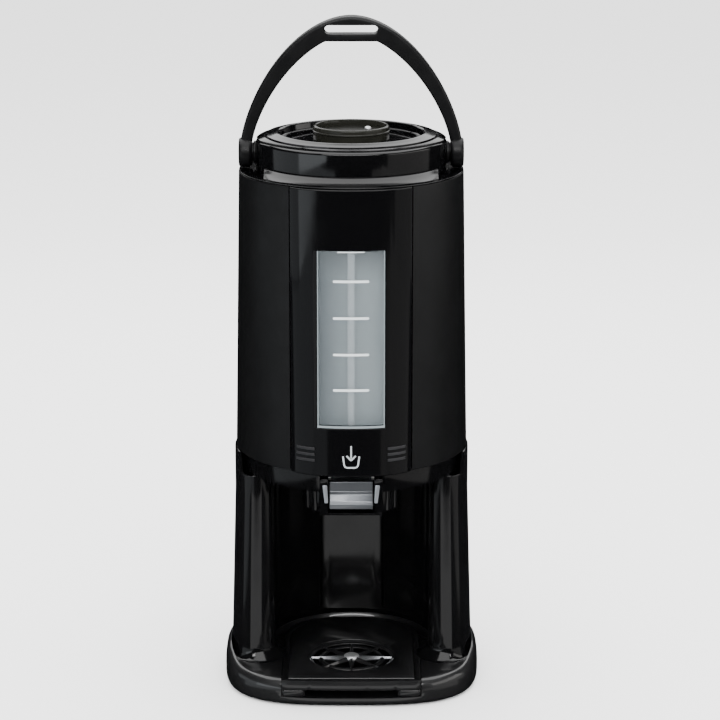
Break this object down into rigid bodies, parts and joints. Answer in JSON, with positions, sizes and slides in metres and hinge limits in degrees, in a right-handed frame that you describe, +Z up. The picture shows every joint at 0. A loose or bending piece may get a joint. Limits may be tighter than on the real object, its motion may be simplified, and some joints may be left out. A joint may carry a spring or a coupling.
{
  "type": "thermal coffee dispenser",
  "caption": "Black insulated coffee dispenser on a horseshoe stand: push-lever tap, level gauge window, brew-through lid, bail handle and pull-out drip tray.",
  "frame": {"origin": "on the table, under the middle of the bounding box, on the vessel's vertical axis", "axes": "+Z up; -Y is the front, where the tap and the gauge window are; +X is to the right as one faces the tap"},
  "size_m": [0.2616, 0.2488, 0.6821],
  "materials": {
    "gloss_black": "polished moulded black plastic",
    "satin_black": "satin black, finely grained",
    "inner_plastic": "plain dark moulded plastic",
    "lever_silver": "silver-grey metallic plastic, polished",
    "gauge_backing": "pale blue-grey backing with printed white graduations",
    "clear_plastic": "clear polycarbonate",
    "rubber": "black rubber",
    "silicone": "translucent grey silicone rubber",
    "stainless_steel": "brushed stainless steel"
  },
  "bodies": {
    "stand": {"base_shell": "gloss_black", "base_bottom_plate": "gloss_black", "foot_front_left": "rubber", "foot_front_right": "rubber", "foot_rear_left": "rubber", "foot_rear_right": "rubber", "base_screw_front_left": "stainless_steel", "base_screw_front_right": "stainless_steel", "base_screw_rear_left": "stainless_steel", "base_screw_rear_right": "stainless_steel", "stand_column": "gloss_black", "spine_cover": "gloss_black", "bottom_cover": "gloss_black", "outer_casing": "satin_black", "front_panel": "gloss_black", "gauge_window": "clear_plastic", "gauge_back_plate": "gauge_backing", "gauge_tube": "clear_plastic", "gauge_top_cap": "silicone", "gauge_elbow": "silicone", "gauge_feed_pipe": "silicone", "inner_liner": "stainless_steel", "outer_liner": "stainless_steel", "mouth_seal": "silicone", "neck_flange": "inner_plastic", "outlet_elbow": "inner_plastic", "outlet_nut": "stainless_steel", "outlet_seal": "silicone", "shoulder_cover": "gloss_black", "shoulder_ring": "gloss_black", "pivot_pin_left": "stainless_steel", "pivot_pin_right": "stainless_steel", "pivot_bush_left": "silicone", "pivot_bush_right": "silicone", "tap_housing": "gloss_black", "lever_bracket": "gloss_black", "lever_pin": "stainless_steel", "spout": "inner_plastic", "valve_body": "inner_plastic", "valve_cap": "inner_plastic", "valve_spring": "stainless_steel"},
    "lid": {"lid_top": "gloss_black", "brew_collar": "gloss_black", "lid_plug": "inner_plastic", "lid_gasket": "silicone"},
    "handle": {"carry_handle": "satin_black"},
    "tray": {"drip_tray": "gloss_black"},
    "grille": {"drip_grille": "satin_black"},
    "lever": {"press_lever": "lever_silver"},
    "valve": {"valve_plunger": "inner_plastic", "valve_seal": "silicone"}
  },
  "joints": [
    {"name": "handle_swing", "type": "hinge", "parent": "stand", "child": "handle", "pos_m": [0, 0, 0.546], "axis": [1, 0, 0], "range_deg": [-90, 90]},
    {"name": "lid_lift", "type": "slide", "parent": "stand", "child": "lid", "axis": [0, 0, 1], "range_m": [0, 0.022]},
    {"name": "lever_press", "type": "hinge", "parent": "stand", "child": "lever", "pos_m": [0, -0.086, 0.232], "axis": [1, 0, 0], "range_deg": [0, 10], "stiffness_Nm_per_rad": 0.8, "springref_deg": -6.88},
    {"name": "valve_lift", "type": "slide", "parent": "stand", "child": "valve", "axis": [0, 0, 1], "range_m": [0, 0.0078], "deforming": ["valve_spring"]},
    {"name": "tray_slide", "type": "slide", "parent": "stand", "child": "tray", "axis": [0, -1, 0], "range_m": [0, 0.2]},
    {"name": "grille_lift", "type": "slide", "parent": "tray", "child": "grille", "axis": [0, 0, 1], "range_m": [0, 0.03]}
  ],
  "couplings": [
    {"joint": "valve_lift", "follows": "lever_press", "m_per_rad": 0.044}
  ]
}
